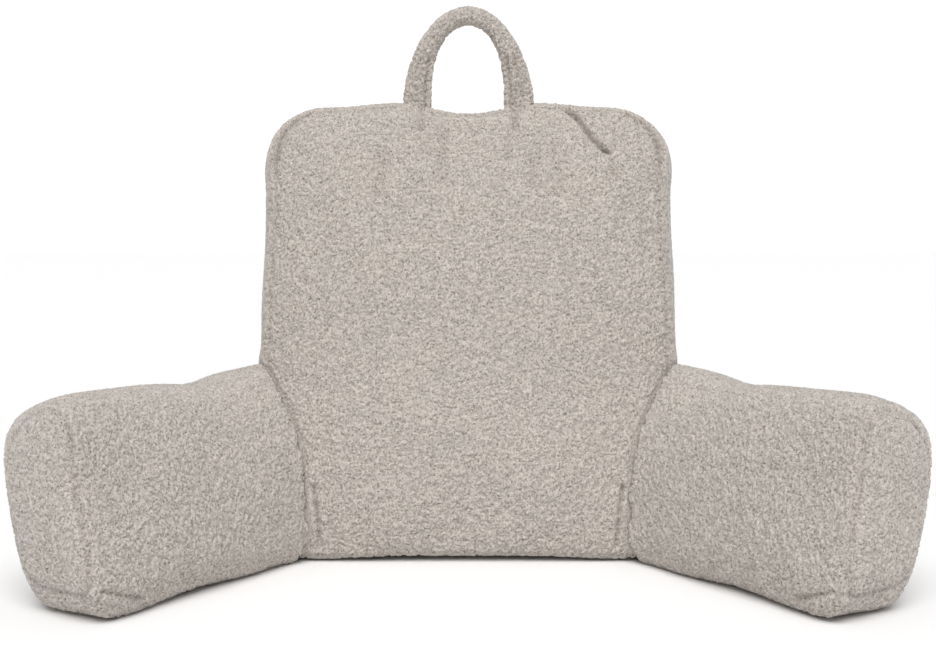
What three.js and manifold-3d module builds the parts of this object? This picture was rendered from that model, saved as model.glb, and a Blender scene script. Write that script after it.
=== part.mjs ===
// Backrest pillow with two arms: a filled back, two splayed filled arms with end panels, and a strap handle.
// Millimetres, +X to the right as seen from the front, +Y to the rear, +Z up, with the base on z = 0.
import * as THREE from 'three';
import { mergeVertices } from 'three/addons/utils/BufferGeometryUtils.js';
import Module from 'manifold-3d';

const wasm = await Module();
wasm.setup();

// Clearance where two sewn pieces meet
const SEAM_GAP = 0.3;

// Back cushion
const BACK = {
  height: 461,
  middle: 217,
  cornerTop: 54,
  cornerBase: 26,
  lean: 62,
  depthBase: 190,
  depthTop: 128,
  rearDrop: 27,
  frontCrown: 32,
  rearCrown: 22,
  sideBulge: 13,
  topBulge: 4,
  topDip: 6,
  baseLift: 7,
  cornerPull: 0.45,
  crownPower: 2.6,
  crownEdge: 9,
};
// Half width of the back between its side seams, up its height
const BACK_WIDTHS = [
  { z: 0, half: 212 },
  { z: 120, half: 209 },
  { z: 240, half: 204 },
  { z: 350, half: 198 },
  { z: 461, half: 202 },
];
// How far to each side of the middle the top edge dips between the handle's ends
const TOP_DIP_REACH = 34;
// Height over which the lifted lower seams come down to their full run
const BASE_LIFT_HEIGHT = 50;
const BACK_STEPS = { around: 112, front: 12, gusset: 8, rear: 7 };

// Arms: where the centre line crosses the side of the back, then one row for each section along it.
// Heading is the turn forward from sideways, inner and outer are the faces' distances from the centre line,
// lean is how far the top lies outside the base, slope is how far the top falls towards its outer side,
// and round is the radius of the upper inner edge as a share of the width.
const ARM_START = { x: 212, y: 40, along: 0 };
const ARM_STEPS = 48;
const ARM_STATIONS = [
  { along: -70, heading: 46, inner: 65, outer: 70, lean: 2, base: 0, top: 190, slope: 24, round: 0.2 },
  { along: -30, heading: 46, inner: 66, outer: 72, lean: 3, base: 0, top: 200, slope: 24, round: 0.2 },
  { along: 5, heading: 46, inner: 68, outer: 73, lean: 5, base: 0, top: 202, slope: 26, round: 0.19 },
  { along: 40, heading: 47, inner: 72, outer: 73, lean: 9, base: 0, top: 198, slope: 28, round: 0.17 },
  { along: 68, heading: 49, inner: 75, outer: 73, lean: 13, base: 0, top: 191, slope: 31, round: 0.15 },
  { along: 95, heading: 50, inner: 76, outer: 72, lean: 17, base: 2, top: 189, slope: 33, round: 0.13 },
  { along: 130, heading: 51, inner: 77, outer: 71, lean: 20, base: 5, top: 193, slope: 36, round: 0.11 },
  { along: 170, heading: 53, inner: 77, outer: 66, lean: 23, base: 4, top: 196, slope: 36, round: 0.1 },
  { along: 208, heading: 54, inner: 76, outer: 58, lean: 26, base: 1, top: 198, slope: 35, round: 0.1 },
  { along: 240, heading: 54, inner: 76, outer: 53, lean: 28, base: 0, top: 199, slope: 35, round: 0.1 },
  { along: 262, heading: 54, inner: 75, outer: 50, lean: 28, base: 0, top: 197, slope: 37, round: 0.1 },
  { along: 273, heading: 54, inner: 73, outer: 45, lean: 28, base: 5, top: 195, slope: 41, round: 0.08 },
  { along: 279, heading: 54, inner: 69, outer: 38, lean: 27, base: 15, top: 193, slope: 48, round: 0.06 },
  { along: 281, heading: 54, inner: 66, outer: 31, lean: 25, base: 28, top: 191, slope: 55, round: 0.04 },
];

// End panels
const END_DOME = 8;
const END_RIM = 3;
const END_RINGS = [1, 0.97, 0.9, 0.78, 0.6, 0.36];

// Handle: half of its centre line, and its section from the sewn end to the top of the loop
const HANDLE_STATIONS = [
  { x: 52, y: 70, z: 448, wide: 30, deep: 15 },
  { x: 52, y: 70, z: 470, wide: 30, deep: 15 },
  { x: 49, y: 71, z: 495, wide: 27, deep: 18 },
  { x: 40, y: 72, z: 522, wide: 22, deep: 22 },
  { x: 23, y: 73, z: 545, wide: 19, deep: 26 },
  { x: 0, y: 74, z: 554, wide: 18, deep: 28 },
];
const HANDLE_STEPS = { along: 36, around: 14 };
// How square the strap's section is: 1 is an ellipse
const HANDLE_ROUND = 0.75;

// Colours of the cloth
const CLOTH = { color: 0xb9afa5, roughness: 0.95, metalness: 0 };

const FRONT_RELIEF = { valleyDepth: 4, valleyWidth: 45, hollowDepth: 3, hollowHeight: 205, hollowWidth: 55 };

// Soft grooves and dimples in the front panel: a line, how deep it lies and how wide
const FRONT_CREASES = [
  { fromX: -48, fromZ: 458, toX: -46, toZ: 432, depth: 5, width: 8 },
  { fromX: 48, fromZ: 458, toX: 46, toZ: 432, depth: 5, width: 8 },
  { fromX: 98, fromZ: 460, toX: 142, toZ: 414, depth: 7, width: 10 },
  { fromX: 142, fromZ: 414, toX: 156, toZ: 386, depth: 4, width: 10 },
  { fromX: -158, fromZ: 72, toX: -150, toZ: 18, depth: 4, width: 9 },
  { fromX: 158, fromZ: 72, toX: 150, toZ: 18, depth: 4, width: 9 },
];

const lerp = THREE.MathUtils.lerp;
const smooth = (low, high, value) => THREE.MathUtils.smoothstep(value, low, high);

// A closed mesh from rings of equal length, each end closed on its own middle point
function loft(rings, firstPole, lastPole, flip) {
  const count = rings[0].length;
  const points = rings.flat().concat([firstPole, lastPole]);
  const index = [];
  const face = (a, b, c) => index.push(...(flip ? [a, c, b] : [a, b, c]));
  for (let ring = 0; ring < rings.length - 1; ring += 1) {
    for (let step = 0; step < count; step += 1) {
      const next = (step + 1) % count;
      const a = ring * count + step;
      const b = ring * count + next;
      face(a, b, b + count);
      face(a, b + count, a + count);
    }
  }
  const lastRing = (rings.length - 1) * count;
  for (let step = 0; step < count; step += 1) {
    const next = (step + 1) % count;
    face(points.length - 2, next, step);
    face(points.length - 1, lastRing + step, lastRing + next);
  }
  const geometry = new THREE.BufferGeometry();
  const places = points.flatMap((point) => point.toArray());
  geometry.setAttribute('position', new THREE.Float32BufferAttribute(places, 3));
  geometry.setIndex(index);
  geometry.computeVertexNormals();
  return geometry;
}

function middleOf(ring) {
  const sum = ring.reduce((total, point) => total.add(point), new THREE.Vector3());
  return sum.divideScalar(ring.length);
}

// The same closed surface moved out along its normals
function grown(geometry, distance) {
  const bigger = geometry.clone();
  const place = bigger.getAttribute('position');
  const normal = bigger.getAttribute('normal');
  for (let i = 0; i < place.count; i += 1) {
    place.setXYZ(
      i,
      place.getX(i) + distance * normal.getX(i),
      place.getY(i) + distance * normal.getY(i),
      place.getZ(i) + distance * normal.getZ(i),
    );
  }
  return bigger;
}

function toSolid(geometry) {
  const bare = geometry.clone();
  bare.deleteAttribute('normal');
  const merged = mergeVertices(bare, 1e-4);
  return new wasm.Manifold(new wasm.Mesh({
    numProp: 3,
    vertProperties: new Float32Array(merged.getAttribute('position').array),
    triVerts: new Uint32Array(merged.index.array),
  }));
}

function toGeometry(solid) {
  const mesh = solid.getMesh();
  const geometry = new THREE.BufferGeometry();
  geometry.setAttribute('position', new THREE.Float32BufferAttribute(mesh.vertProperties, 3));
  geometry.setIndex(new THREE.Uint32BufferAttribute(mesh.triVerts, 1));
  geometry.computeVertexNormals();
  return geometry;
}

// What is left of a piece outside the back cushion, without slivers
function cutByBack(geometry, back) {
  const left = toSolid(geometry).subtract(toSolid(grown(back, SEAM_GAP)));
  const pieces = left.decompose().sort((a, b) => b.volume() - a.volume());
  return toGeometry(pieces[0]);
}

function halfWidth(z) {
  const above = BACK_WIDTHS.findIndex((row) => row.z >= z);
  const high = BACK_WIDTHS[Math.max(1, above)];
  const low = BACK_WIDTHS[Math.max(1, above) - 1];
  return lerp(low.half, high.half, smooth(low.z, high.z, z));
}

// Outline of the back in the front view, from the middle of its base round by the right
function backOutline() {
  const { height, cornerTop, cornerBase, cornerPull, topDip } = BACK;
  const side = new THREE.Shape();
  side.moveTo(0, 0);
  side.lineTo(halfWidth(0) - cornerBase, 0);
  side.quadraticCurveTo(halfWidth(0), 0, halfWidth(0), cornerBase);
  side.lineTo(halfWidth(height), height - cornerTop);
  side.bezierCurveTo(
    halfWidth(height), height - cornerTop * cornerPull,
    halfWidth(height) - cornerTop * cornerPull, height,
    halfWidth(height) - cornerTop, height,
  );
  side.lineTo(0, height);
  const sideStart = cornerBase;
  const sideEnd = height - cornerTop;
  const half = side.getSpacedPoints(BACK_STEPS.around / 2).map((point) => {
    const pastBase = smooth(sideStart, 2 * sideStart, point.y);
    const belowTop = 1 - smooth(sideEnd - cornerTop / 2, sideEnd, point.y);
    const straight = lerp(halfWidth(0), halfWidth(height), (point.y - sideStart) / (sideEnd - sideStart));
    const dip = topDip * Math.exp(-((point.x / TOP_DIP_REACH) ** 4)) * smooth(0.5, 1, point.y / height);
    return new THREE.Vector2(point.x + pastBase * belowTop * (halfWidth(point.y) - straight), point.y - dip);
  });
  const mirrored = half.slice(1, -1).reverse().map((point) => new THREE.Vector2(-point.x, point.y));
  return half.concat(mirrored);
}

// Outward direction of the outline at one of its points
function outlineNormal(outline, step) {
  const before = outline[(step - 1 + outline.length) % outline.length];
  const after = outline[(step + 1) % outline.length];
  return new THREE.Vector2(after.y - before.y, before.x - after.x).normalize();
}

const frontSeamY = (z) => BACK.lean * z / BACK.height;
const rearSeamY = (z) => lerp(BACK.depthBase, BACK.lean + BACK.depthTop, z / BACK.height);

function creaseDepth(x, z) {
  let depth = 0;
  for (const crease of FRONT_CREASES) {
    const start = new THREE.Vector3(crease.fromX, 0, crease.fromZ);
    const end = new THREE.Vector3(crease.toX, 0, crease.toZ);
    const point = new THREE.Vector3(x, 0, z);
    const nearest = new THREE.Line3(start, end).closestPointToPoint(point, true, new THREE.Vector3());
    const away = nearest.distanceTo(point) / crease.width;
    depth = Math.max(depth, crease.depth * Math.exp(-away * away));
  }
  return depth;
}

// A shallow valley up the middle and a hollow above the lumbar part, which leave broad lobes between them
function frontRelief(x, z) {
  const { valleyDepth, valleyWidth, hollowDepth, hollowHeight, hollowWidth } = FRONT_RELIEF;
  const valley = valleyDepth * Math.exp(-((x / valleyWidth) ** 2));
  const hollow = hollowDepth * Math.exp(-(((z - hollowHeight) / hollowWidth) ** 2));
  return valley + hollow;
}

// How far a panel stands proud: fullest in its middle, nothing at its seam
function panelCrown(x, z, share, crown) {
  const across = 1 - Math.min(1, Math.abs(x) / halfWidth(z)) ** BACK.crownPower;
  const up = 1 - Math.min(1, Math.abs(2 * z / BACK.height - 1)) ** BACK.crownPower;
  const rim = 1 - share ** BACK.crownEdge;
  return crown * Math.sqrt(across * up * rim);
}

// A point of the front panel, share of the way from its middle to its seam
function frontPoint(corner, share) {
  const x = corner.x * share;
  const z = lerp(BACK.middle, corner.y, share);
  const inside = 1 - share ** 6;
  const crown = panelCrown(x, z, share, BACK.frontCrown);
  const y = frontSeamY(z) - crown + frontRelief(x, z) * inside + creaseDepth(x, z) * Math.sqrt(inside);
  return new THREE.Vector3(x, y, z + baseLift(x, corner.y, 0) * share);
}

function rearPoint(corner, share) {
  const x = corner.x * share;
  const z = lerp(BACK.middle, corner.y, share);
  const drop = 1 - BACK.rearDrop / BACK.height;
  const y = rearSeamY(z) + panelCrown(x, z, share, BACK.rearCrown);
  return new THREE.Vector3(x, y, z * drop + baseLift(x, corner.y, 1) * share);
}

// The lower edge of each seam is lifted off the floor, most in the middle of its length
function baseLift(x, z, across) {
  const nearSeam = 1 - smooth(0, 0.22, Math.min(across, 1 - across));
  const nearMiddle = 1 - 0.6 * smooth(60, 150, Math.abs(x));
  return BACK.baseLift * nearSeam * nearMiddle * (1 - smooth(0, BASE_LIFT_HEIGHT, z));
}

function gussetPoint(corner, normal, across) {
  const z = corner.y * (1 - across * BACK.rearDrop / BACK.height);
  const y = lerp(frontSeamY(corner.y), rearSeamY(corner.y), across);
  const full = lerp(BACK.sideBulge, BACK.topBulge, smooth(0.5, 0.95, normal.y)) * smooth(0, 70, corner.y);
  const bulge = full * Math.sin(Math.PI * across) ** 0.7;
  const lift = baseLift(corner.x, corner.y, across);
  return new THREE.Vector3(corner.x + normal.x * bulge, y, Math.max(0, z + normal.y * bulge) + lift);
}

// Share of the way from a panel's middle to its seam at one of its rings, closer together near the seam
const ringShare = (ring, count) => Math.sin((ring / count) * Math.PI / 2) ** 0.9;

function backGeometry() {
  const outline = backOutline();
  const rings = [];
  for (let ring = 1; ring <= BACK_STEPS.front; ring += 1) {
    const share = ringShare(ring, BACK_STEPS.front);
    rings.push(outline.map((corner) => frontPoint(corner, share)));
  }
  for (let ring = 1; ring <= BACK_STEPS.gusset; ring += 1) {
    const across = ring / (BACK_STEPS.gusset + 1);
    rings.push(outline.map((corner, step) => gussetPoint(corner, outlineNormal(outline, step), across)));
  }
  for (let ring = BACK_STEPS.rear; ring >= 1; ring -= 1) {
    const share = ringShare(ring, BACK_STEPS.rear);
    rings.push(outline.map((corner) => rearPoint(corner, share)));
  }
  return loft(rings, frontPoint(outline[0], 0), rearPoint(outline[0], 0), true);
}

// Section of an arm: q runs outward from the centre line, z up
function armSection({ inner, outer, lean, base, top, slope, round }) {
  const wide = inner + outer;
  const high = top - base;
  const side = high - slope;
  // Share of the width from the inner face, and height above the base
  const corners = [
    [0.11, 0], [0.42, 0], [0.74, 0],
    [0.9, 0.12 * side], [0.97, 0.38 * side], [1, 0.66 * side],
    [0.965, 0.93 * side], [0.81, high - 0.7 * slope], [0.48, high - 0.16 * slope],
    [2 * round, 0.985 * high], [0.75 * round, (1 - 1.2 * round) * high],
    [0.025, 0.58 * high], [-0.01, 0.3 * high], [0.005, 0.11 * high],
  ];
  const points = corners.map(([share, up]) => {
    const shift = lean * (up / high - 0.5);
    return new THREE.Vector3(share * wide - inner + shift, 0, base + up);
  });
  const curve = new THREE.CatmullRomCurve3(points, true, 'centripetal');
  const ring = curve.getSpacedPoints(ARM_STEPS).slice(0, ARM_STEPS);
  return ring.map((point) => new THREE.Vector2(point.x, Math.max(base, point.z)));
}

// Where each station's centre lies in plan, for the arm on the right
function armCentres() {
  const centres = [];
  const first = ARM_STATIONS[0];
  const place = new THREE.Vector2(ARM_START.x, ARM_START.y);
  const step = (heading, length) => {
    const turn = THREE.MathUtils.degToRad(heading);
    return new THREE.Vector2(Math.cos(turn), -Math.sin(turn)).multiplyScalar(length);
  };
  place.add(step(first.heading, first.along - ARM_START.along));
  ARM_STATIONS.forEach((row, index) => {
    const last = ARM_STATIONS[index - 1];
    if (last) place.add(step((row.heading + last.heading) / 2, row.along - last.along));
    centres.push(place.clone());
  });
  return centres;
}
const ARM_CENTRES = armCentres();

// Side is -1 for the left arm and 1 for the right one; beyond is a distance past the station's centre
function armPoint(side, station, q, z, beyond = 0) {
  const turn = THREE.MathUtils.degToRad(ARM_STATIONS[station].heading);
  const centre = ARM_CENTRES[station];
  return new THREE.Vector3(
    side * (centre.x + beyond * Math.cos(turn) + q * Math.sin(turn)),
    centre.y - beyond * Math.sin(turn) + q * Math.cos(turn),
    z,
  );
}

function armGeometry(side) {
  const rings = ARM_STATIONS.map((row, station) => {
    const section = armSection(row);
    return section.map((point) => armPoint(side, station, point.x, point.y));
  });
  return loft(rings, middleOf(rings[0]), middleOf(rings[rings.length - 1]), side < 0);
}

// The domed panel that closes the end of an arm
function endPanelGeometry(side) {
  const station = ARM_STATIONS.length - 1;
  const seam = armSection(ARM_STATIONS[station]);
  const middle = seam.reduce((sum, p) => sum.add(p), new THREE.Vector2()).divideScalar(seam.length);
  const ringAt = (share, beyond) => seam.map((p) => {
    const place = middle.clone().lerp(p, share);
    return armPoint(side, station, place.x, place.y, beyond);
  });
  const domeAt = (share) => SEAM_GAP + END_RIM + END_DOME * (1 - share ** 2.4) ** 0.8;
  const rings = [ringAt(1, SEAM_GAP), ...END_RINGS.map((share) => ringAt(share, domeAt(share)))];
  const inside = armPoint(side, station, middle.x, middle.y, SEAM_GAP);
  const outside = armPoint(side, station, middle.x, middle.y, domeAt(0));
  return loft(rings, inside, outside, side < 0);
}

function handleGeometry() {
  const right = HANDLE_STATIONS.slice().reverse().slice(1);
  const left = HANDLE_STATIONS.map((row) => ({ ...row, x: -row.x }));
  const rows = left.concat(right);
  const line = new THREE.CatmullRomCurve3(rows.map((row) => new THREE.Vector3(row.x, row.y, row.z)));
  const sizes = new THREE.CatmullRomCurve3(rows.map((row) => new THREE.Vector3(row.wide, row.deep, 0)));
  const soften = (value) => Math.sign(value) * Math.abs(value) ** HANDLE_ROUND;
  const rings = [];
  for (let step = 0; step <= HANDLE_STEPS.along; step += 1) {
    const t = step / HANDLE_STEPS.along;
    const centre = line.getPoint(t);
    const tangent = line.getTangent(t);
    const size = sizes.getPoint(t);
    const outward = new THREE.Vector3(-tangent.z, 0, tangent.x).normalize();
    const ring = [];
    for (let turn = 0; turn < HANDLE_STEPS.around; turn += 1) {
      const angle = (turn / HANDLE_STEPS.around) * Math.PI * 2;
      const point = centre.clone().addScaledVector(outward, soften(Math.cos(angle)) * size.x / 2);
      point.y += soften(Math.sin(angle)) * size.y / 2;
      ring.push(point);
    }
    rings.push(ring);
  }
  return loft(rings, middleOf(rings[0]), middleOf(rings[rings.length - 1]), true);
}

function piece(name, geometry) {
  const mesh = new THREE.Mesh(geometry, new THREE.MeshStandardMaterial(CLOTH));
  mesh.name = name;
  return mesh;
}

const pillow = new THREE.Group();
const back = backGeometry();
pillow.add(piece('back_cushion', back));
for (const [word, side] of [['left', -1], ['right', 1]]) {
  pillow.add(piece(`arm_${word}`, cutByBack(armGeometry(side), back)));
  pillow.add(piece(`end_panel_${word}`, endPanelGeometry(side)));
}
pillow.add(piece('handle', cutByBack(handleGeometry(), back)));

// The origin lies under the middle of the whole pillow
const middle = new THREE.Box3().setFromObject(pillow).getCenter(new THREE.Vector3());
pillow.position.set(-middle.x, -middle.y, 0);

export default pillow;
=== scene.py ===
"""Backrest pillow in curly pile cloth: a filled back, two arms with end panels, and a strap handle."""
import math

import bmesh
import bpy
import numpy as np
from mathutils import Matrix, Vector, noise
from mathutils.bvhtree import BVHTree


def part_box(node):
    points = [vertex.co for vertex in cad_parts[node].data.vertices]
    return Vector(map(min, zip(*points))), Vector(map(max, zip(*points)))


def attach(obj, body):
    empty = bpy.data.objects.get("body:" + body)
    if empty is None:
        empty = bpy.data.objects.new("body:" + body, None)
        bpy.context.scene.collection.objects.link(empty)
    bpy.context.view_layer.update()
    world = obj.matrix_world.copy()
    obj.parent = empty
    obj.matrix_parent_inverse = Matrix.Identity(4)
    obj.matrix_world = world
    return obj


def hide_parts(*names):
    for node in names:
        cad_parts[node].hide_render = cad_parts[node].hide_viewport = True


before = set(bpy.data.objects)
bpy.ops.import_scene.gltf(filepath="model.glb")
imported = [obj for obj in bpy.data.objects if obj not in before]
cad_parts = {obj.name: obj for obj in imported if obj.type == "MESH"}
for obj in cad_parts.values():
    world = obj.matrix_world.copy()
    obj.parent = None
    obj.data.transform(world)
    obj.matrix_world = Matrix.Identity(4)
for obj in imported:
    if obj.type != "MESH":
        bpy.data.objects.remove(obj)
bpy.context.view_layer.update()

# Camera, in metres, degrees and millimetres
CAMERA_PLACE = (0.0, -1.4850, 0.3963)
CAMERA_TILT = 84.0
CAMERA_LENS_MM = 57.7
SENSOR_WIDTH_MM = 36.0
CAMERA_REACH = 50.0

# Size of a remeshed face, in metres: on the soft forms, and on each finished piece
SOFT_VOXEL = 0.006
PIECE_VOXEL = {
    "back_front": 0.00160,
    "back_gusset": 0.00193,
    "back_rear": 0.00190,
    "arm": 0.00184,
    "handle": 0.00140,
}

# Inflation by cloth simulation, in metres: the pad starts smaller by the inset, and no point moves further
# than the cap. It is held near its seams, and is fully inset from this many times that distance on.
INFLATE = {"pressure": 4.0, "frames": 20, "inset": 0.001, "cap": 0.0045, "held": 0.007, "free": 3.0}
# The shortest move that is told apart from none
TINY = 1e-9

# Where each noise is sampled, so that the three don't look alike
NOISE_OFFSET = {"curls": 3.1, "knots": 41.9, "lumps": 5.7}
# Pile: size of its curls and of the knots in them, and how far the curls stand up, in metres
CURL_SIZE = 0.0038
KNOT_SIZE = 0.55 * CURL_SIZE
CURL_HEIGHT = 0.0024
# Share of the pile that lies inside the solid's own surface
CURL_MIDDLE = 0.5
# Share of a curl and of its knots in the pile's height, and where in the noise the line between curls ends
CURL_SHARE = 0.85
KNOT_SHARE = 0.3
CURL_LINE = 0.3
# The pile grows from nothing to its full height between these distances from a neighbour
PILE_GROWS = (0.0004, 0.0018)
# Soft unevenness of the filling, which fades out within a distance of the seams
LUMP_SIZE = 0.085
LUMP_HEIGHT = 0.0022
LUMP_FADE = 0.03

# Sewn edges: how far a seam is drawn in, and half its width
SEAM = {"depth": 0.0022, "width": 0.0024}
# The front seam round the upper corners of the back, where the gusset pulls it in further
CORNER_SEAM = {"depth": 0.0038, "width": 0.0030}
# The pinch where an arm meets the back, and the seam round an end panel, where the pile nearly closes
JOIN = {"depth": 0.0010, "width": 0.0016}
END_SEAM = {"depth": 0.0026, "width": 0.0022}
# How far the soft form of an arm's end stands off its CAD solids at the seam
END_SEAM_STAND = 0.0015
# How far neighbouring panels reach past their seam plane, so that no gap shows
SEAM_OVERLAP = 0.0015
# No distance to a neighbouring node is measured past this
NEIGHBOUR_LIMIT = 0.03

# Seam planes of the back: where the front one meets the floor and how far it leans for each metre up, and how
# far behind that foot the upright rear one stands
BACK_FOOT = 0.00675
FRONT_SEAM_LEAN = 62.0 / 461.0
REAR_SEAM = 0.190
# Upper corners of the back: where they begin and are complete, and how far off the rest of the seam counts as
CORNER = {"up": (0.33, 0.41), "out": (0.13, 0.17), "away": 0.02}

# Vertices of the handle under this height are sunk this far into the back's top seam
HANDLE_FOOT = {"below": 0.462, "longer": 0.012}

# How far the cloth rises beside a fold, as a share of the fold's depth, and where, in half widths of the fold
FOLD_LIP = 0.25
FOLD_LIP_PLACE = 2.3
# A fold has its full depth where the cloth faces forward at least this much
FOLD_FACING = 0.25
# Folds and pinched seams: a line in the front view, its depth and its half width, in metres
FOLDS = {
    "back": [
        {"line": [(-0.048, 0.462), (-0.0475, 0.440)], "depth": 0.0030, "width": 0.0030},
        {"line": [(0.0475, 0.462), (0.047, 0.440)], "depth": 0.0030, "width": 0.0030},
        {"line": [(-0.047, 0.436), (-0.043, 0.410)], "depth": 0.0018, "width": 0.0060},
        {"line": [(0.047, 0.436), (0.038, 0.410)], "depth": 0.0018, "width": 0.0060},
        {
            "line": [(0.095, 0.462), (0.110, 0.450), (0.1245, 0.430), (0.1375, 0.417), (0.1435, 0.4145)],
            "depth": 0.0056,
            "width": 0.0024,
        },
        {"line": [(0.146, 0.397), (0.151, 0.388)], "depth": 0.0024, "width": 0.0040},
        {"line": [(-0.026, 0.438), (-0.027, 0.386)], "depth": 0.0022, "width": 0.0070},
        {"line": [(-0.087, 0.414), (-0.089, 0.370)], "depth": 0.0020, "width": 0.0080},
        {"line": [(0.068, 0.420), (0.066, 0.380)], "depth": 0.0020, "width": 0.0080},
        {"line": [(0.090, 0.416), (0.092, 0.376)], "depth": 0.0020, "width": 0.0080},
        {"line": [(-0.156, 0.080), (-0.153, 0.050), (-0.150, 0.018)], "depth": 0.0040, "width": 0.0021},
        {"line": [(0.156, 0.080), (0.153, 0.050), (0.150, 0.018)], "depth": 0.0040, "width": 0.0021},
    ],
    "arm_left": [
        {"line": [(-0.316, 0.032), (-0.303, 0.024), (-0.292, 0.0166)], "depth": 0.0036, "width": 0.0026},
    ],
    "arm_right": [
        {"line": [(0.316, 0.032), (0.303, 0.024), (0.292, 0.0166)], "depth": 0.0036, "width": 0.0026},
    ],
    "handle": [
        # The two wide shallow folds down the legs are there mostly to darken the legs with painted shade
        {"line": [(-0.051, 0.440), (-0.051, 0.480), (-0.047, 0.505)], "depth": 0.0024, "width": 0.0090},
        {"line": [(0.051, 0.440), (0.051, 0.480), (0.047, 0.505)], "depth": 0.0024, "width": 0.0090},
        {"line": [(-0.0425, 0.440), (-0.0420, 0.480), (-0.0385, 0.510)], "depth": 0.0030, "width": 0.0024},
        {"line": [(0.0425, 0.440), (0.0420, 0.480), (0.0385, 0.510)], "depth": 0.0030, "width": 0.0024},
    ],
}

# Fuller places, in metres. The sides of the back stand out between the heights where the fill rises and
# falls, as far as they face outward, and its top edge beside the handle's feet, as far as it faces up.
SIDE_FILL = {"height": 0.0035, "rises": (0.12, 0.22), "falls": (0.34, 0.42), "facing": (0.4, 0.9)}
TOP_FILL = {"height": 0.0045, "x": 0.078, "reach": 0.034, "facing": (0.2, 0.8)}
# The upper outer edge of an arm's end is fuller, and the tip at its lower inner front corner is lifted
SHOULDER = {"height": 0.004, "x": 0.412, "z": 0.165, "reach": 0.030}
ARM_TIP = {"lift": 0.0035, "x": 0.335, "y": -0.205, "reach": 0.038, "fades": (0.005, 0.035)}

# Cloth colours, linear: the cloth's own colour at the tips of its curls, and at the root of the pile a darker
# colour that is painted shade down in the pile
PILE_ROOT_PAINTED_SHADE = (0.500, 0.454, 0.413)
CLOTH_TIP = (0.622, 0.566, 0.516)
CURL_PAINTED_SHADES = [(0.0, PILE_ROOT_PAINTED_SHADE), (0.6, CLOTH_TIP)]
# Painted shade in tucks and seams: how dark the pile is painted where they are drawn in, and how fast it
# darkens for each metre that they are drawn in
PAINTED_TUCK_SHADES = [(0.0, (1.0, 1.0, 1.0)), (1.0, (0.42, 0.39, 0.36))]
PAINTED_TUCK_SHADE_PER_METRE = 80.0
# Soft patches of tone, and fine painted shade: dark along the crossing lines between the curls, and from
# painted shade in the pits to painted light on the tips of the curls
PATCH_SHADES = [(0.3, (0.97, 0.97, 0.973)), (0.7, (1.0, 0.997, 0.99))]
LINE_PAINTED_SHADES = [(0.0, (0.62, 0.61, 0.60)), (0.4, (0.95, 0.95, 0.95)), (1.0, (1.04, 1.04, 1.04))]
PIT_PAINTED_SHADE_AND_LIGHT = [
    (0.30, (0.42, 0.41, 0.40)),
    (0.43, (0.86, 0.86, 0.855)),
    (0.55, (1.00, 1.00, 1.00)),
    (0.72, (1.16, 1.16, 1.16)),
]
# Noise textures of the cloth, and how sharply the crossing lines stand out
PATCHES = {"Scale": 22.0, "Detail": 3.0}
LINES = {"Scale": 620.0, "Detail": 1.0}
PITS = {"Scale": 530.0, "Detail": 2.0}
LINE_CONTRAST = 12.0
# Settings of the cloth's shader and of its bump
CLOTH_FINISH = {
    "Roughness": 0.95,
    "Specular IOR Level": 0.15,
    "Sheen Weight": 0.45,
    "Sheen Roughness": 0.5,
}
CLOTH_BUMP = {"Strength": 0.8, "Distance": 0.0010}

# Floor: its colour, its roughness, and half its side
FLOOR_COLOR = (0.97, 0.97, 0.97)
FLOOR_ROUGHNESS = 1.0
FLOOR_HALF = 6.0
# Light of the surroundings on the object, and how bright the background shows
WORLD_LIGHT = 0.37
BACKGROUND_LIGHT = 1.05
# Soft suns: the place that each shines from, its irradiance, and its width in degrees
SUNS = {
    "key": {"place": (0.0, -1.8, 2.6), "irradiance": 2.13, "softness": 40.0},
    "overhead": {"place": (0.0, -0.2, 2.5), "irradiance": 0.40, "softness": 80.0},
}


def smooth_step(low, high, value):
    """0 up to the low limit, 1 from the high one, and a smooth change between them."""
    share = np.clip((value - low) / (high - low), 0.0, 1.0)
    return share * share * (3.0 - 2.0 * share)


def make_camera():
    camera = bpy.data.objects.new("camera", bpy.data.cameras.new("camera"))
    camera.location = CAMERA_PLACE
    camera.rotation_euler = (math.radians(CAMERA_TILT), 0.0, 0.0)
    camera.data.lens = CAMERA_LENS_MM
    camera.data.sensor_width = SENSOR_WIDTH_MM
    camera.data.clip_end = CAMERA_REACH
    bpy.context.scene.collection.objects.link(camera)
    bpy.context.scene.camera = camera


def places_of(mesh):
    places = np.empty(len(mesh.vertices) * 3)
    mesh.vertices.foreach_get("co", places)
    return places.reshape(-1, 3)


def normals_of(mesh):
    normals = np.empty(len(mesh.vertices) * 3)
    mesh.vertex_normals.foreach_get("vector", normals)
    return normals.reshape(-1, 3)


def set_places(mesh, places):
    mesh.vertices.foreach_set("co", places.ravel())
    mesh.update()


def new_piece(name, mesh):
    piece = bpy.data.objects.new(name, mesh)
    bpy.context.scene.collection.objects.link(piece)
    return piece


def evaluated_mesh(piece):
    """The piece's mesh with its modifiers applied."""
    return bpy.data.meshes.new_from_object(piece.evaluated_get(bpy.context.evaluated_depsgraph_get()))


def keep_modified(piece):
    mesh = evaluated_mesh(piece)
    piece.modifiers.clear()
    piece.data = mesh


def remesh(piece, voxel):
    modifier = piece.modifiers.new("remesh", "REMESH")
    modifier.mode = "VOXEL"
    modifier.voxel_size = voxel
    modifier.use_smooth_shade = True
    keep_modified(piece)


def subdivide(piece, levels):
    modifier = piece.modifiers.new("subdivision", "SUBSURF")
    modifier.levels = levels
    keep_modified(piece)


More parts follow.
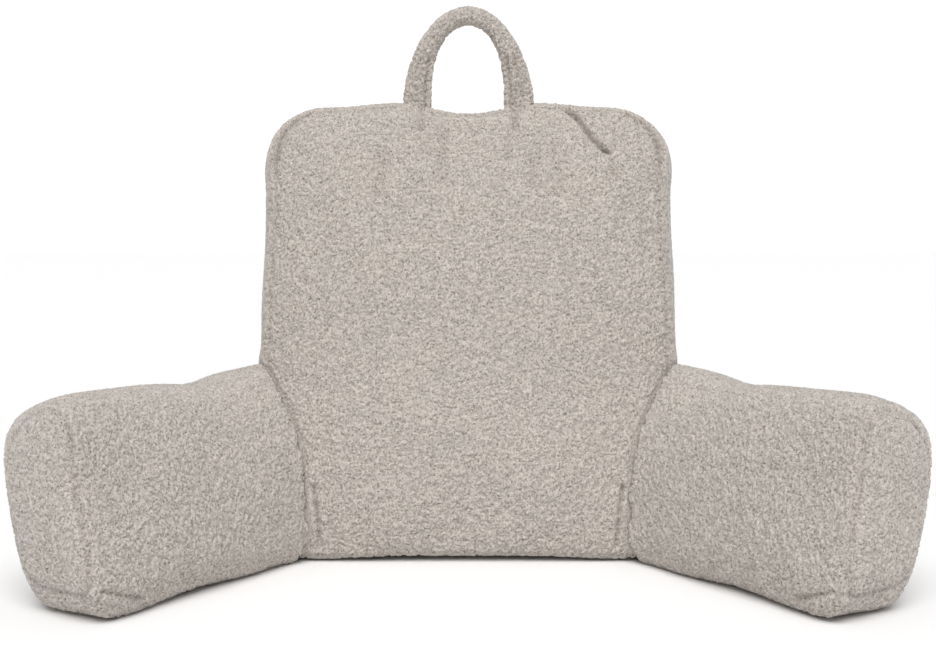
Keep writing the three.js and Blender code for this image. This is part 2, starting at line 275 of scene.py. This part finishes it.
def inflate(piece, seam_distance):
    """Fills the closed piece like a pad: cloth under inside pressure, held at its seams."""
    places = places_of(piece.data)
    free = smooth_step(INFLATE["held"], INFLATE["free"] * INFLATE["held"], seam_distance)
    start = places - INFLATE["inset"] * free[:, None] * normals_of(piece.data)
    set_places(piece.data, start)
    sewn = piece.vertex_groups.new(name="sewn")
    sewn.add([int(index) for index in np.flatnonzero(seam_distance < INFLATE["held"])], 1.0, "REPLACE")
    cloth = piece.modifiers.new("cloth", "CLOTH")
    cloth.settings.vertex_group_mass = "sewn"
    cloth.settings.use_pressure = True
    cloth.settings.uniform_pressure_force = INFLATE["pressure"]
    cloth.settings.effector_weights.gravity = 0.0
    cloth.point_cache.frame_start = 1
    cloth.point_cache.frame_end = INFLATE["frames"]
    for step in range(1, INFLATE["frames"] + 1):
        bpy.context.scene.frame_set(step)
    filled = places_of(evaluated_mesh(piece))
    piece.modifiers.clear()
    bpy.context.scene.frame_set(1)
    moved = filled - start
    length = np.maximum(np.linalg.norm(moved, axis=1, keepdims=True), TINY)
    set_places(piece.data, start + moved * np.minimum(1.0, INFLATE["cap"] / length))


def filled_copy(name, nodes):
    """One closed mesh round the named CAD nodes, remeshed so that the seam between them closes."""
    form = bmesh.new()
    for node in nodes:
        form.from_mesh(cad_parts[node].data)
    mesh = bpy.data.meshes.new(name)
    form.to_mesh(mesh)
    form.free()
    piece = new_piece(name, mesh)
    remesh(piece, SOFT_VOXEL)
    return piece


def soft_form(nodes, sewn_at):
    """A filled copy of CAD nodes: remeshed, inflated between its seams, and smoothed."""
    piece = filled_copy(nodes[0] + "_form", nodes)
    inflate(piece, sewn_at(places_of(piece.data)))
    subdivide(piece, 1)
    return piece


def noise_at(places, size, offset):
    """Smooth noise from about -1 to 1 for each place."""
    shift = Vector((offset, 2.0 * offset, 3.0 * offset))
    return np.array([noise.noise(Vector(place) + shift) for place in places / size])


def curls_at(places):
    """Height of the pile for each place, from 0 in the dark lines between the curls to 1 on top of them."""
    wander = np.abs(noise_at(places, CURL_SIZE, NOISE_OFFSET["curls"]))
    knots = noise_at(places, KNOT_SIZE, NOISE_OFFSET["knots"])
    return np.clip(CURL_SHARE * smooth_step(0.0, CURL_LINE, wander) + KNOT_SHARE * knots, 0.0, 1.0)


def line_distance(flat, line):
    """Distance from each flat place to a line through the given points."""
    nearest = np.full(len(flat), np.inf)
    for first, second in zip(line, line[1:]):
        start = np.array(first)
        along = np.array(second) - start
        share = np.clip((flat - start) @ along / (along @ along), 0.0, 1.0)
        nearest = np.minimum(nearest, np.linalg.norm(flat - start - share[:, None] * along, axis=1))
    return nearest


def fold_depth(places, folds):
    """How far the folds draw in a piece's front, with the cloth raised beside them."""
    depth = np.zeros(len(places))
    for fold in folds:
        away = line_distance(places[:, [0, 2]], fold["line"]) / fold["width"]
        lip = FOLD_LIP * np.exp(-((away - FOLD_LIP_PLACE) ** 2))
        depth += fold["depth"] * (np.exp(-(away**2)) - lip)
    return depth


def solid_tree(node):
    """Search tree over the faces of a CAD node."""
    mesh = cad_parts[node].data
    corners = [vertex.co for vertex in mesh.vertices]
    return BVHTree.FromPolygons(corners, [face.vertices for face in mesh.polygons])


def distance_to(places, neighbours):
    """Distance from each place to the nearest of the named CAD nodes, up to the limit."""
    distance = np.full(len(places), NEIGHBOUR_LIMIT)
    for node in neighbours:
        tree = solid_tree(node)
        low, high = (np.array(corner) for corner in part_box(node))
        near = np.all((places > low - NEIGHBOUR_LIMIT) & (places < high + NEIGHBOUR_LIMIT), axis=1)
        for index in np.flatnonzero(near):
            away = tree.find_nearest(Vector(places[index]), NEIGHBOUR_LIMIT)[3]
            if away is not None:
                distance[index] = min(distance[index], away)
    return distance


def front_seam_distance(places):
    """Signed distance behind the leaning plane of the front seam."""
    return (places[:, 1] - BACK_FOOT - FRONT_SEAM_LEAN * places[:, 2]) / math.hypot(1.0, FRONT_SEAM_LEAN)


def rear_seam_distance(places):
    """Signed distance behind the upright plane of the rear seam."""
    return places[:, 1] - BACK_FOOT - REAR_SEAM


def back_seams(places):
    """Distance to the nearest of the back's two seam planes."""
    return np.minimum(np.abs(front_seam_distance(places)), np.abs(rear_seam_distance(places)))


def corner_seam(places):
    """Distance to the front seam round the two upper corners, where the gusset pulls it in further."""
    up = smooth_step(*CORNER["up"], places[:, 2])
    out = smooth_step(*CORNER["out"], np.abs(places[:, 0]))
    return np.abs(front_seam_distance(places)) + CORNER["away"] * (1.0 - up * out)


def end_seam(side):
    """A function that gives the distance to the seam between an arm and its end panel."""

    def distance(places):
        to_arm = distance_to(places, [f"arm_{side}"])
        to_panel = distance_to(places, [f"end_panel_{side}"])
        return np.maximum(np.maximum(to_arm, to_panel) - END_SEAM_STAND, 0.0)

    return distance


def back_fill(places, normals):
    """How much fuller the back is halfway up its sides and beside the handle."""
    rising = smooth_step(*SIDE_FILL["rises"], places[:, 2])
    falling = smooth_step(*SIDE_FILL["falls"], places[:, 2])
    halfway = rising * (1.0 - falling)
    sides = SIDE_FILL["height"] * halfway * smooth_step(*SIDE_FILL["facing"], np.abs(normals[:, 0]))
    beside = np.exp(-(((np.abs(places[:, 0]) - TOP_FILL["x"]) / TOP_FILL["reach"]) ** 2))
    return sides + TOP_FILL["height"] * beside * smooth_step(*TOP_FILL["facing"], normals[:, 2])


def arm_fill(places, _normals):
    """How much fuller an arm is: its shoulder stands out, and its underside lifts at the tip."""
    out = np.abs(places[:, 0])
    to_shoulder = (out - SHOULDER["x"]) ** 2 + (places[:, 2] - SHOULDER["z"]) ** 2
    at_shoulder = np.exp(-(to_shoulder / SHOULDER["reach"] ** 2))
    to_tip = (out - ARM_TIP["x"]) ** 2 + (places[:, 1] - ARM_TIP["y"]) ** 2
    at_tip = np.exp(-(to_tip / ARM_TIP["reach"] ** 2))
    low = 1.0 - smooth_step(*ARM_TIP["fades"], places[:, 2])
    return SHOULDER["height"] * at_shoulder - ARM_TIP["lift"] * at_tip * low


def drawn_in(distance, seam):
    """How far a seam draws the cloth in at a distance from it."""
    return seam["depth"] * np.exp(-((distance / seam["width"]) ** 2))


def dress(piece, seams, neighbours, folds, fill=None):
    """Draws in the seams and folds, makes the filling uneven and raises the pile.

    Each of the seams is a function that gives the distance to it, with how it is drawn in. The height of the
    pile and the painted shade of the tucks and seams stay on the mesh as attributes, for the material, which
    paints shade from both.
    """
    mesh = piece.data
    places = places_of(mesh)
    normals = normals_of(mesh)
    near = distance_to(places, neighbours)
    sewn = near
    drawn = drawn_in(near, JOIN) + fold_depth(places, folds) * smooth_step(0.0, FOLD_FACING, -normals[:, 1])
    for distance_of, seam in seams:
        distance = distance_of(places)
        sewn = np.minimum(sewn, distance)
        drawn += drawn_in(distance, seam)
    uneven = noise_at(places, LUMP_SIZE, NOISE_OFFSET["lumps"])
    lumps = LUMP_HEIGHT * uneven * smooth_step(0.0, LUMP_FADE, sewn)
    full = fill(places, normals) if fill else 0.0
    curls = curls_at(places)
    height = CURL_HEIGHT * (curls - CURL_MIDDLE) * smooth_step(*PILE_GROWS, near)
    moved = places + (full + lumps - drawn + height)[:, None] * normals
    moved[:, 2] = np.maximum(moved[:, 2], 0.0)
    set_places(mesh, moved)
    # The tuck attribute is painted shade: the further a seam or fold draws the cloth in, the darker the pile
    # is painted there
    for name, values in (("pile", curls), ("painted_tuck_shade", np.clip(PAINTED_TUCK_SHADE_PER_METRE * drawn, 0.0, 1.0))):
        layer = mesh.attributes.new(name, "FLOAT", "POINT")
        layer.data.foreach_set("value", values)


def cut(piece, name, keeps):
    """The part of the piece on the kept sides of its seam planes, as a piece of its own."""
    form = bmesh.new()
    form.from_mesh(piece.data)
    for place, outward in keeps:
        everything = form.verts[:] + form.edges[:] + form.faces[:]
        bmesh.ops.bisect_plane(form, geom=everything, plane_co=place, plane_no=outward, clear_outer=True)
    mesh = bpy.data.meshes.new(name)
    form.to_mesh(mesh)
    form.free()
    return new_piece(name, mesh)


def set_sockets(node, values):
    for name, value in values.items():
        node.inputs[name].default_value = value


def ramp(tree, source, stops):
    """Colour for each value of the source, through the stops."""
    node = tree.nodes.new("ShaderNodeValToRGB")
    while len(node.color_ramp.elements) < len(stops):
        node.color_ramp.elements.new(0.5)
    for element, (position, color) in zip(node.color_ramp.elements, stops):
        element.position = position
        element.color = (*color, 1.0)
    tree.links.new(source, node.inputs["Fac"])
    return node.outputs["Color"]


def attribute(tree, name):
    node = tree.nodes.new("ShaderNodeAttribute")
    node.attribute_name = name
    return node.outputs["Fac"]


def noise_texture(tree, settings):
    place = tree.nodes.new("ShaderNodeTexCoord")
    texture = tree.nodes.new("ShaderNodeTexNoise")
    set_sockets(texture, settings)
    tree.links.new(place.outputs["Object"], texture.inputs["Vector"])
    return texture.outputs["Fac"]


def math_node(tree, operation, first, second):
    """The source and a number put together; a product is kept from 0 to 1."""
    node = tree.nodes.new("ShaderNodeMath")
    node.operation = operation
    node.use_clamp = operation == "MULTIPLY"
    tree.links.new(first, node.inputs[0])
    node.inputs[1].default_value = second
    return node.outputs[0]


def crossing_lines(tree, source):
    """0 along the wandering lines where the noise crosses its middle, 1 away from them."""
    centred = math_node(tree, "SUBTRACT", source, 0.5)
    return math_node(tree, "MULTIPLY", math_node(tree, "ABSOLUTE", centred, 0.0), LINE_CONTRAST)


def multiplied(tree, first, second):
    """The product of two colours."""
    node = tree.nodes.new("ShaderNodeMix")
    node.data_type = "RGBA"
    node.blend_type = "MULTIPLY"
    targets = {item.name: item for item in node.inputs if item.enabled}
    targets["Factor"].default_value = 1.0
    tree.links.new(first, targets["A"])
    tree.links.new(second, targets["B"])
    return next(item for item in node.outputs if item.enabled)


def pile_cloth():
    material = bpy.data.materials.new("pile_cloth")
    material.use_nodes = True
    tree = material.node_tree
    shader = tree.nodes["Principled BSDF"]
    # The pile is painted darker towards its root, as painted shade in the hollows between the curls
    cloth_and_painted_shade = ramp(tree, attribute(tree, "pile"), CURL_PAINTED_SHADES)
    pits = noise_texture(tree, PITS)
    # The cloth's own colour and its random patches of tone, multiplied by painted shade in the pile, the
    # tucks, the lines and the pits
    for shades in (
        ramp(tree, noise_texture(tree, PATCHES), PATCH_SHADES),
        # Painted shade in the tucks and seams
        ramp(tree, attribute(tree, "painted_tuck_shade"), PAINTED_TUCK_SHADES),
        # Painted shade along the crossing lines between the curls, and painted shade in the pits with painted
        # light on the tips
        ramp(tree, crossing_lines(tree, noise_texture(tree, LINES)), LINE_PAINTED_SHADES),
        ramp(tree, pits, PIT_PAINTED_SHADE_AND_LIGHT),
    ):
        cloth_and_painted_shade = multiplied(tree, cloth_and_painted_shade, shades)
    tree.links.new(cloth_and_painted_shade, shader.inputs["Base Color"])
    bump = tree.nodes.new("ShaderNodeBump")
    set_sockets(bump, CLOTH_BUMP)
    tree.links.new(pits, bump.inputs["Height"])
    tree.links.new(bump.outputs["Normal"], shader.inputs["Normal"])
    set_sockets(shader, CLOTH_FINISH)
    return material


def finish_piece(piece, nodes, material):
    """Gives the piece its cloth and smooth shading, hangs it under the root body, and hides the CAD nodes
    that it stands for.
    """
    piece.data.materials.clear()
    piece.data.materials.append(material)
    piece.data.shade_smooth()
    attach(piece, "root")
    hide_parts(*nodes)


def voxel_of(name):
    return PIECE_VOXEL[name] * 1.0


def make_back(material):
    """The back cushion as one soft form, which is then cut into its three panels at the seams."""
    arms = ["arm_left", "arm_right"]

    def sewn_at(places):
        return np.minimum(back_seams(places), distance_to(places, arms))

    form = soft_form(["back_cushion"], sewn_at)
    tilt = Vector((0.0, 1.0, -FRONT_SEAM_LEAN)).normalized()
    rearward = Vector((0.0, 1.0, 0.0))
    front_foot = Vector((0.0, BACK_FOOT, 0.0))
    rear_foot = Vector((0.0, BACK_FOOT + REAR_SEAM, 0.0))
    overlap = SEAM_OVERLAP * rearward
    panels = {
        "back_front": [(front_foot + overlap, tilt)],
        "back_gusset": [(front_foot - overlap, -tilt), (rear_foot + overlap, rearward)],
        "back_rear": [(rear_foot - overlap, -rearward)],
    }
    for name, keeps in panels.items():
        fine = new_piece(name + "_form", form.data.copy())
        remesh(fine, voxel_of(name))
        dress(fine, [(back_seams, SEAM), (corner_seam, CORNER_SEAM)], arms, FOLDS["back"], back_fill)
        panel = cut(fine, name, keeps)
        bpy.data.objects.remove(fine)
        finish_piece(panel, ["back_cushion"], material)
    bpy.data.objects.remove(form)


def make_arm(side, material):
    """An arm with its end panel, as one filled piece with the panel's seam drawn in round it."""
    arm = f"arm_{side}"
    nodes = [arm, f"end_panel_{side}"]
    seam = end_seam(side)

    def sewn_at(places):
        return np.minimum(seam(places), distance_to(places, ["back_cushion"]))

    piece = soft_form(nodes, sewn_at)
    piece.name = arm + "_cover"
    remesh(piece, voxel_of("arm"))
    dress(piece, [(seam, END_SEAM)], ["back_cushion"], FOLDS[arm], arm_fill)
    finish_piece(piece, nodes, material)


def make_handle(material):
    """The strap's feet go on down into the top seam of the back."""
    piece = new_piece("handle_strap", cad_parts["handle"].data.copy())
    places = places_of(piece.data)
    foot = places[:, 2] < HANDLE_FOOT["below"]
    places[foot, 2] -= HANDLE_FOOT["longer"]
    set_places(piece.data, places)
    remesh(piece, voxel_of("handle"))
    dress(piece, [], [], FOLDS["handle"])
    finish_piece(piece, ["handle"], material)


def floor_material():
    material = bpy.data.materials.new("floor")
    material.use_nodes = True
    shader = material.node_tree.nodes["Principled BSDF"]
    set_sockets(shader, {"Base Color": (*FLOOR_COLOR, 1.0), "Roughness": FLOOR_ROUGHNESS})
    return material


def make_stage():
    sides = ((-1, -1), (1, -1), (1, 1), (-1, 1))
    corners = [(x * FLOOR_HALF, y * FLOOR_HALF, 0.0) for x, y in sides]
    floor = bpy.data.meshes.new("floor")
    floor.from_pydata(corners, [], [(0, 1, 2, 3)])
    floor.materials.append(floor_material())
    new_piece("floor", floor)


def add_soft_sun(name, place, irradiance, softness):
    """Even light over the whole stage from the direction of the place, as from a large softbox."""
    light = bpy.data.lights.new(name, "SUN")
    light.energy = irradiance
    light.angle = math.radians(softness)
    lamp = bpy.data.objects.new(name, light)
    lamp.location = place
    lamp.rotation_euler = (-Vector(place)).to_track_quat("-Z", "Y").to_euler()
    bpy.context.scene.collection.objects.link(lamp)


def make_light():
    """A white studio: the background shows white, and most of the light comes from above and in front."""
    world = bpy.data.worlds.new("studio")
    world.use_nodes = True
    tree = world.node_tree
    background = tree.nodes["Background"]
    set_sockets(background, {"Color": (1.0, 1.0, 1.0, 1.0)})
    seen = tree.nodes.new("ShaderNodeLightPath")
    strength = tree.nodes.new("ShaderNodeMapRange")
    set_sockets(strength, {"To Min": WORLD_LIGHT, "To Max": BACKGROUND_LIGHT})
    tree.links.new(seen.outputs["Is Camera Ray"], strength.inputs["Value"])
    tree.links.new(strength.outputs["Result"], background.inputs["Strength"])
    bpy.context.scene.world = world
    for name, sun in SUNS.items():
        add_soft_sun(name, **sun)
    view = bpy.context.scene.view_settings
    view.view_transform = "Standard"
    view.look = "None"
    view.exposure = 0.0


make_camera()
make_light()
make_stage()
cloth = pile_cloth()
make_back(cloth)
for side in ("left", "right"):
    make_arm(side, cloth)
make_handle(cloth)
